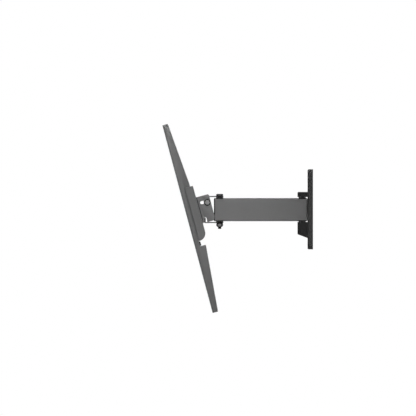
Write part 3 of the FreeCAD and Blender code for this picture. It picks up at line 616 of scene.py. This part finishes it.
hex_bolt("wall_pivot_bolt", M8, (0, 0, 1))
hex_bolt("head_pivot_bolt", M8, (0, 0, 1))
hex_bolt("tilt_lock_bolt", M6, (1, 0, 0))
lock_nut("wall_pivot_nut", M8, (0, 0, -1))
lock_nut("head_pivot_nut", M8, (0, 0, -1))
lock_nut("tilt_lock_nut", M6, (-1, 0, 0))
flat_washers("wall_pivot_washer", M8, (0, 0, 1), 1)
flat_washers("head_pivot_washer", M8, (0, 0, 1), 1)
flat_washers("tilt_lock_washers", M6, (1, 0, 0), 2)
flat_washers("tilt_friction_washers", M6, (1, 0, 0), 2)


# ---- rivets and screws in the tilting frame --------------------------------------------

RIVET_HEAD = 5.0 * MM
RIVET_SHANK = 3.0 * MM
YOKE_HEAD = 1.2 * MM
BAR_HEAD = 1.8 * MM
# a dome's profile runs up from near its rim to near its axis
DOME_STEPS = 8
DOME_START_DEG = 12.0
DOME_SWEEP_DEG = 72.0
DOME_TOP_RADIUS = 0.4 * MM
# punch mark in the formed head, as (radius, height) from its floor to its rim
PUNCH_MARK = [(0.4 * MM, 0.55 * MM), (1.1 * MM, 0.5 * MM), (1.4 * MM, 0.02 * MM)]

SCREW_SHANK = 2.0 * MM
SCREW_PITCH = 0.7 * MM
SCREW_PLAIN_LENGTH = 1.0 * MM
SCREW_HEAD = 4.0 * MM
SCREW_HEAD_DEPTH = 2.3 * MM
# how far the head's cone starts inside the shank, and the narrow rolled rim round its top
CONE_OVERLAP = 0.1 * MM
RIM_INSET = 0.15 * MM
RIM_DEPTH = 0.25 * MM
RIM_CHAMFER = 0.1 * MM
# the cross recess: half length and half width of its arms, depth, and its size at the bottom
RECESS_ARM = 2.3 * MM
RECESS_BLADE = 0.42 * MM
RECESS_DEPTH = 1.3 * MM
RECESS_TAPER = 0.55
RECESS_OVERSHOOT = 0.2 * MM


def dome(radius, base, height):
    """Profile from the rim of a low dome to near its axis; height may be negative."""
    points = []
    for index in range(DOME_STEPS + 1):
        angle = math.radians(DOME_START_DEG + DOME_SWEEP_DEG * index / DOME_STEPS)
        points.append((radius * math.cos(angle), base + height * math.sin(angle)))
    return points


def rivet_profile(length):
    """Formed head with its punch mark, shank, and the factory head at the far end."""
    formed_head = list(reversed(dome(RIVET_HEAD, BAR_HEAD, -BAR_HEAD)))
    # the punch mark takes the place of the dome's two innermost points
    profile = PUNCH_MARK + formed_head[2:]
    far_face = length - YOKE_HEAD
    profile += [(RIVET_HEAD, BAR_HEAD), (RIVET_SHANK, BAR_HEAD)]
    profile += [(RIVET_SHANK, far_face), (RIVET_HEAD, far_face)]
    return profile + dome(RIVET_HEAD, far_face, YOKE_HEAD) + [(DOME_TOP_RADIUS, length)]


def yoke_rivets():
    """Domed rivets with a shallow punch mark in the formed head."""
    shape = bmesh.new()
    for points in solids_of("yoke_rivets"):
        base, length = span_along(points, TOWARDS_WALL)
        rivet = bmesh.new()
        turned_solid(rivet, rivet_profile(length))
        mesh = mesh_from("rivet", rivet)
        place_along(mesh, base, TOWARDS_WALL)
        shape.from_mesh(mesh)
        bpy.data.meshes.remove(mesh)
    add_piece("yoke_rivets_domed", mesh_from("yoke_rivets_domed", shape), "yoke_rivets")


def cross_cutter(top):
    """Tapered cross that leaves the driver recess in a screw head."""
    cutter = bmesh.new()
    corners = []
    for quarter in range(4):
        turn = Matrix.Rotation(quarter * math.pi / 2, 3, "Z")
        for x, y in ((RECESS_BLADE, -RECESS_BLADE), (RECESS_ARM, -RECESS_BLADE), (RECESS_ARM, RECESS_BLADE)):
            corners.append(turn @ Vector((x, y, 0)))
    rings = []
    for height, scale in ((top + RECESS_OVERSHOOT, 1.0), (top - RECESS_DEPTH, RECESS_TAPER)):
        rings.append([cutter.verts.new((c.x * scale, c.y * scale, height)) for c in corners])
    skin(cutter, rings)
    return mesh_from("cross", cutter)


def lock_screw(node):
    """Countersunk machine screw with a thread and a cross recess."""
    base, length = span_along(solids_of(node)[0], TOWARDS_WALL)
    screw = bmesh.new()
    seat = length - SCREW_HEAD_DEPTH
    threaded_rod(screw, SCREW_SHANK, SCREW_PITCH, seat - SCREW_PLAIN_LENGTH, seat)
    head = bmesh.new()
    turned_solid(head, [(SCREW_SHANK, seat - CONE_OVERLAP), (SCREW_HEAD - RIM_INSET, length - RIM_DEPTH),
                        (SCREW_HEAD, length - RIM_CHAMFER), (SCREW_HEAD - RIM_CHAMFER, length)])
    cut = recessed(mesh_from("head", head), cross_cutter(length))
    screw.from_mesh(cut)
    bpy.data.meshes.remove(cut)
    mesh = mesh_from(node + "_recessed", screw)
    place_along(mesh, base, TOWARDS_WALL)
    add_piece(node + "_recessed", mesh, node, SCREW_DEG)


yoke_rivets()
lock_screw("left_lock_screw")
lock_screw("right_lock_screw")


# ---- small parts that only show up close -----------------------------------------------

TRIM_WIDTH = 2.1 * MM
TRIM_PROUD = 0.25 * MM
SADDLE_SKIRT = 1.7 * MM
SADDLE_WALL = 1.1 * MM
SADDLE_GAP = 0.05 * MM
SADDLE_HALF_LENGTH = 7.9 * MM
SADDLE_EDGE = 0.3 * MM
SADDLE_CUTTER_REACH = 5 * MM


def head_end_shade_trim():
    """Black cap pressed over the arm's head end, which also paints the shade that falls on the rounded end:
    the arm's own end skin, grown a little.
    """
    low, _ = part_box("arm_tube")
    shape = node_shape("arm_tube")
    everything = shape.verts[:] + shape.edges[:] + shape.faces[:]
    bmesh.ops.bisect_plane(shape, geom=everything, dist=CUT_TOLERANCE,
                           plane_co=(0, low.y + TRIM_WIDTH, 0), plane_no=(0, -1, 0), clear_inner=True)
    shape.normal_update()
    rim = [edge for edge in shape.edges if edge.is_boundary]
    moves = [(vert, vert.normal.copy()) for vert in shape.verts]
    inner = bmesh.ops.extrude_edge_only(shape, edges=rim)["geom"]
    inner_edges = [item for item in inner if isinstance(item, bmesh.types.BMEdge)]
    for vert, normal in moves:
        vert.co += normal * TRIM_PROUD
    bmesh.ops.holes_fill(shape, edges=[edge for edge in inner_edges if edge.is_boundary], sides=0)
    # these steps leave the faces in no fixed order, so they are put in order of place
    by_place = sorted(shape.faces, key=lambda face: tuple(face.calc_center_median()))
    for index, face in enumerate(by_place):
        face.index = index
    shape.faces.sort()
    add_detail("head_end_shade_trim", mesh_from("head_end_shade_trim", shape), "arm", "black_nylon")


def arm_saddle(name, bushings, top_side):
    """Nylon saddle round a bush flange, its skirts over the arm's rounded edges."""
    low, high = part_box("arm_tube")
    flange_low, flange_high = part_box(bushings)
    pivot = (flange_low + flange_high) / 2
    face = high.z if top_side else low.z
    outer = flange_high.z if top_side else flange_low.z
    skirt = face - math.copysign(SADDLE_SKIRT, outer - face)
    inner_half = (high.x - low.x) / 2 + SADDLE_GAP
    outer_half = inner_half + SADDLE_WALL
    shape = bmesh.new()
    section = [(-outer_half, skirt), (-inner_half, skirt), (-inner_half, face), (inner_half, face),
               (inner_half, skirt), (outer_half, skirt), (outer_half, outer), (-outer_half, outer)]
    rings = []
    for y in (pivot.y - SADDLE_HALF_LENGTH, pivot.y + SADDLE_HALF_LENGTH):
        rings.append([shape.verts.new((x, y, z)) for x, z in section])
    skin(shape, rings)
    bore = bmesh.new()
    radius = (flange_high.x - flange_low.x) / 2 + SADDLE_GAP
    skin(bore, [ring_of(bore, [radius] * ROUND_STEPS, z)
                for z in (face - SADDLE_CUTTER_REACH, face + SADDLE_CUTTER_REACH)])
    cutter = mesh_from("bore", bore)
    cutter.transform(Matrix.Translation((pivot.x, pivot.y, 0)))
    saddle = rounded_off(recessed(mesh_from(name, shape), cutter), SADDLE_EDGE)
    saddle.name = name
    add_detail(name, saddle, "arm", "black_nylon")


# a black cap that also paints the shade on the arm's rounded head end
head_end_shade_trim()
arm_saddle("wall_saddle_top", "wall_end_bushings", True)
arm_saddle("wall_saddle_bottom", "wall_end_bushings", False)
arm_saddle("head_saddle_top", "head_end_bushings", True)
arm_saddle("head_saddle_bottom", "head_end_bushings", False)

WELD_RADIUS = 1.3 * MM
WELD_RIPPLE = 1.6 * MM
WELD_STEPS_PER_RIPPLE = 5
WELD_SIDES = 14
# a bead's taper: its rise at the tip, and its gain over a whole length; at 1 the bead is full
WELD_TIP_RISE = 0.12
WELD_RISE_RATE = 8
# share of the radius that the ripples take
WELD_RIPPLE_SHARE = 0.1
WELD_COUNT = 7
WELD_HALF_LENGTH = 12 * MM
# where the welds run, from the tilt axis towards the wall and up the rails
WELD_LINE_DEPTH = -10.4 * MM
WELD_LINE_HEIGHT = 61.0 * MM


def weld_bead(shape, start, end):
    """Rippled bead with tapered ends, laid along a straight joint."""
    steps = int((end - start).length / WELD_RIPPLE) * WELD_STEPS_PER_RIPPLE
    direction = (end - start).normalized()
    side = direction.cross(Vector((0, 0, 1))).normalized()
    over = side.cross(direction)
    turns = [2 * math.pi * index / WELD_SIDES for index in range(WELD_SIDES)]
    rings = []
    for step in range(steps + 1):
        share = step / steps
        rise = min(1.0, WELD_TIP_RISE + WELD_RISE_RATE * min(share, 1 - share))
        taper = math.sin(math.pi * rise / 2)
        ripple = abs(math.sin(math.pi * step / WELD_STEPS_PER_RIPPLE))
        swell = WELD_RADIUS * taper * (1 - WELD_RIPPLE_SHARE + WELD_RIPPLE_SHARE * ripple)
        centre = start + (end - start) * share
        rings.append([shape.verts.new(centre + (side * math.cos(turn) + over * math.sin(turn)) * swell)
                      for turn in turns])
    skin(shape, rings)


def hook_strip_welds():
    """Stitch welds between the hook strip's shelf and the back of the bar."""
    line = TILT_ORIGIN + TOWARDS_WALL * WELD_LINE_DEPTH + UP_THE_RAIL * WELD_LINE_HEIGHT
    low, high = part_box("hook_strip")
    pitch = (high.x - low.x) / WELD_COUNT
    shape = bmesh.new()
    for index in range(WELD_COUNT):
        middle = low.x + pitch * (index + 0.5)
        ends = [Vector((middle + way * WELD_HALF_LENGTH, line.y, line.z)) for way in (-1, 1)]
        weld_bead(shape, ends[0], ends[1])
    add_detail("hook_strip_welds", mesh_from("hook_strip_welds", shape), "tilt_plate", "grey_steel")


hook_strip_welds()


# ---- sheet metal and mouldings with rounded edges --------------------------------------

# neighbouring faces that turn less than this merge before the edges are rounded
FLAT_DEG = 0.6
# rounding of each node's sharp edges, in millimetres
EDGE_WIDTHS = {
    "left_rail": 0.35, "right_rail": 0.35, "crossbar": 0.35, "hook_strip": 0.3,
    "tilt_yoke": 0.35, "swivel_bracket": 0.35, "wall_plate": 0.35, "wall_pivot_bracket": 0.35,
    "nose_bands": 0.2, "hinge_pads": 0.25, "left_lock_block": 0.4, "right_lock_block": 0.4,
}


def pull_back(mesh, original, reach):
    """Returns vertices that strayed further than reach from the original to its surface."""
    surface = BVHTree.FromPolygons([vert.co for vert in original.vertices],
                                   [list(face.vertices) for face in original.polygons])
    for vert in mesh.vertices:
        nearest, _, _, distance = surface.find_nearest(vert.co)
        if distance > reach:
            vert.co = nearest


def soften(node, width):
    """Shows a copy of a CAD node whose sharp edges are rounded off by width."""
    shape = node_shape(node)
    bmesh.ops.dissolve_limit(shape, angle_limit=math.radians(FLAT_DEG), verts=shape.verts, edges=shape.edges)
    rounded = rounded_off(mesh_from(node + "_finish", shape), width)
    pull_back(rounded, nodes[node].data, width)
    rounded.name = node + "_finish"
    add_piece(node + "_finish", rounded, node)


for node, width in EDGE_WIDTHS.items():
    soften(node, width * MM)

# the nodes that are shown as the CAD made them
for name, node in nodes.items():
    if not node.hide_render:
        node.data.materials.clear()
        node.data.materials.append(finish_for(name))


# ---- stage, light and camera -----------------------------------------------------------

WHITE = grey(1.0)
FLOOR_Z = -0.8
FLOOR_HALF = 14.0
FLOOR_GLOW = 0.4
FLOOR_TONES = (0.80, 0.83)
FLOOR_ROUGHNESS = 0.8
AMBIENT = 0.22
# middle of the view, in the plane that the camera faces
VIEW_CENTRE = Vector((0.06, -0.231, 0.0029))
VIEW_WIDTH = 0.9152
# a very long lens, so the view is square on all over
LENS = 1500.0
SENSOR_WIDTH = 36.0
CLIP_START = 0.5
CLIP_END = 200.0
# what most of the lights point at
MIDDLE = (0, -0.2, 0)


def make_floor():
    """Pale floor, lifted towards white where the camera sees it."""
    mesh = bpy.data.meshes.new("floor")
    shape = bmesh.new()
    corners = [(-1, -1), (1, -1), (1, 1), (-1, 1)]
    shape.faces.new([shape.verts.new((x * FLOOR_HALF, y * FLOOR_HALF, FLOOR_Z)) for x, y in corners])
    shape.to_mesh(mesh)
    shape.free()
    floor = bpy.data.objects.new("floor", mesh)
    bpy.context.scene.collection.objects.link(floor)
    surface = Surface("pale_floor")
    tint = surface.blend(surface.noise(scale=3.0), grey(FLOOR_TONES[0]), grey(FLOOR_TONES[1]))
    surface.link(tint, surface.shader.inputs["Base Color"])
    surface.shader.inputs["Roughness"].default_value = FLOOR_ROUGHNESS
    seen = surface.nodes.new("ShaderNodeLightPath").outputs["Is Camera Ray"]
    surface.link(surface.spread(seen, 0.0, FLOOR_GLOW), surface.shader.inputs["Emission Strength"])
    surface.shader.inputs["Emission Color"].default_value = WHITE
    mesh.materials.append(surface.material)


def make_world():
    """White where the camera looks past the object, and a dimmer even light on everything."""
    world = bpy.data.worlds.new("studio")
    bpy.context.scene.world = world
    world.use_nodes = True
    tree = world.node_tree
    background = tree.nodes["Background"]
    background.inputs["Color"].default_value = WHITE
    seen = tree.nodes.new("ShaderNodeLightPath").outputs["Is Camera Ray"]
    level = tree.nodes.new("ShaderNodeMapRange")
    level.inputs["To Min"].default_value = AMBIENT
    level.inputs["To Max"].default_value = 1.0
    tree.links.new(seen, level.inputs["Value"])
    tree.links.new(level.outputs["Result"], background.inputs["Strength"])


def softbox(name, place, target, width, height, power, spread_deg=180.0):
    """Area light facing target; a small spread is a grid that keeps its beam narrow."""
    light = bpy.data.lights.new(name, "AREA")
    light.shape = "RECTANGLE"
    light.size = width
    light.size_y = height
    light.energy = power
    light.spread = math.radians(spread_deg)
    lamp = bpy.data.objects.new(name, light)
    lamp.location = place
    aim = Vector(target) - Vector(place)
    lamp.rotation_euler = aim.to_track_quat("-Z", "Y").to_euler()
    bpy.context.scene.collection.objects.link(lamp)


def make_camera():
    """Camera square on to the mount's side, level, looking along -X."""
    data = bpy.data.cameras.new("camera")
    data.sensor_width = SENSOR_WIDTH
    data.lens = LENS
    data.clip_start = CLIP_START
    data.clip_end = CLIP_END
    camera = bpy.data.objects.new("camera", data)
    distance = VIEW_WIDTH * LENS / SENSOR_WIDTH
    camera.location = VIEW_CENTRE + Vector((distance, 0, 0))
    camera.rotation_euler = (math.pi / 2, 0, math.pi / 2)
    bpy.context.scene.collection.objects.link(camera)
    bpy.context.scene.camera = camera


make_floor()
make_world()
softbox("key", (2.2, -0.5, 1.54), (0, -0.5, 0), width=1.0, height=1.4, power=3.0, spread_deg=9.0)
softbox("fill", (2.6, -0.25, 0.1), MIDDLE, width=0.6, height=1.6, power=9.0)
softbox("top", (0.0, -0.2, 2.2), MIDDLE, width=1.4, height=1.4, power=10.0)
softbox("front", (-0.7, -2.0, 1.7), MIDDLE, width=1.4, height=1.4, power=13.0)
softbox("back", (-0.7, 1.7, 1.7), MIDDLE, width=1.4, height=1.4, power=12.0)
softbox("far_side", (-2.6, -0.25, 0.8), MIDDLE, width=1.0, height=2.0, power=16.0)
make_camera()

view = bpy.context.scene.view_settings
view.view_transform = "Standard"
view.look = "None"
